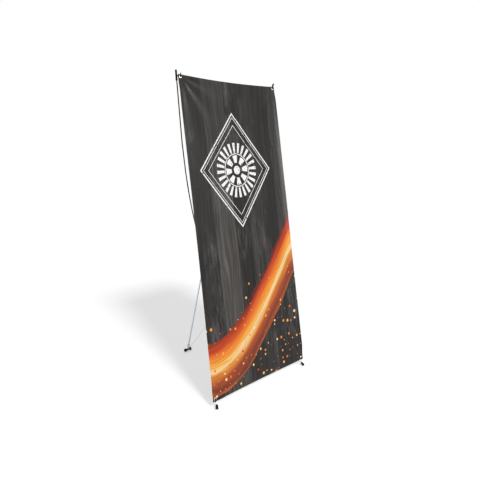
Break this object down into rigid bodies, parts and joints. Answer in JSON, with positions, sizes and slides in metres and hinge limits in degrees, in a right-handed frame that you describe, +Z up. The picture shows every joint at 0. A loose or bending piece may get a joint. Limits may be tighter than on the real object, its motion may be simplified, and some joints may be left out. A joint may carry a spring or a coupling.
{
  "type": "x banner stand",
  "caption": "Folding banner stand: printed sheet hung by grommets on hooks, hub behind with sprung upper rods, splayed front legs and a rear leg on a cross foot.",
  "frame": {"origin": "on the floor, under the middle of the overall box", "axes": "+X along the banner's width, to the right seen from the front; the printed face looks toward -Y; +Z up"},
  "size_m": [0.822, 0.7368, 1.8413],
  "materials": {
    "printed_vinyl": "semi-matte printed vinyl",
    "grommet_brass": "polished eyelet",
    "pin_steel": "plain rivet",
    "satin_aluminium": "satin anodised tube",
    "black_plastic": "moulded, fine grain",
    "hook_plastic": "moulded, smooth",
    "rod_fibreglass": "pultruded rod, satin",
    "foot_rubber": "soft moulded rubber",
    "limit_cord": "thin twisted string"
  },
  "bodies": {
    "hub": {"hub_body": "black_plastic", "front_pin_left": "pin_steel", "front_pin_right": "pin_steel", "rear_pin": "pin_steel", "rod_pin_left": "pin_steel", "rod_pin_right": "pin_steel"},
    "front_arm_left": {"front_knuckle_left": "black_plastic", "front_leg_left": "satin_aluminium", "leg_hook_left": "hook_plastic", "leg_collar_left": "satin_aluminium", "front_foot_left": "foot_rubber"},
    "front_arm_right": {"front_knuckle_right": "black_plastic", "front_leg_right": "satin_aluminium", "leg_hook_right": "hook_plastic", "leg_collar_right": "satin_aluminium", "front_foot_right": "foot_rubber"},
    "rear_arm": {"rear_knuckle": "black_plastic", "rear_leg": "satin_aluminium", "rear_collar": "satin_aluminium", "rear_cross_bar": "black_plastic", "rear_cup_left": "foot_rubber", "rear_cup_right": "foot_rubber", "limit_cord": "limit_cord"},
    "rod_arm_left": {"rod_knuckle_left": "black_plastic", "upper_rod_left": "rod_fibreglass", "end_cap_left": "hook_plastic"},
    "rod_arm_right": {"rod_knuckle_right": "black_plastic", "upper_rod_right": "rod_fibreglass", "end_cap_right": "hook_plastic"},
    "banner_sheet": {"banner": "printed_vinyl", "grommet_top_left": "grommet_brass", "grommet_top_right": "grommet_brass", "grommet_bottom_left": "grommet_brass", "grommet_bottom_right": "grommet_brass", "washer_top_left": "grommet_brass", "washer_top_right": "grommet_brass", "washer_bottom_left": "grommet_brass", "washer_bottom_right": "grommet_brass"}
  },
  "joints": [
    {"name": "front_fold_left", "type": "hinge", "parent": "hub", "child": "front_arm_left", "pos_m": [-0.01235, 0.15585, 0.67871], "axis": [0.6354, -0.7412, 0.2167], "range_deg": [0, 31]},
    {"name": "front_fold_right", "type": "hinge", "parent": "hub", "child": "front_arm_right", "pos_m": [0.01235, 0.15585, 0.67871], "axis": [0.6354, 0.7412, -0.2167], "range_deg": [0, 31]},
    {"name": "rear_fold", "type": "hinge", "parent": "hub", "child": "rear_arm", "pos_m": [0, 0.18091, 0.67118], "axis": [-1, 0, 0], "range_deg": [0, 31], "deforming": ["limit_cord"]},
    {"name": "rod_fold_left", "type": "hinge", "parent": "hub", "child": "rod_arm_left", "pos_m": [-0.01224, 0.16955, 0.72606], "axis": [-0.644, 0.7343, -0.2147], "range_deg": [0, 25]},
    {"name": "rod_fold_right", "type": "hinge", "parent": "hub", "child": "rod_arm_right", "pos_m": [0.01224, 0.16955, 0.72606], "axis": [-0.644, -0.7343, 0.2147], "range_deg": [0, 25]},
    {"name": "banner_lift_off", "type": "slide", "parent": "hub", "child": "banner_sheet", "axis": [0, -0.9877, 0.1564], "range_m": [0, 0.25]}
  ]
}
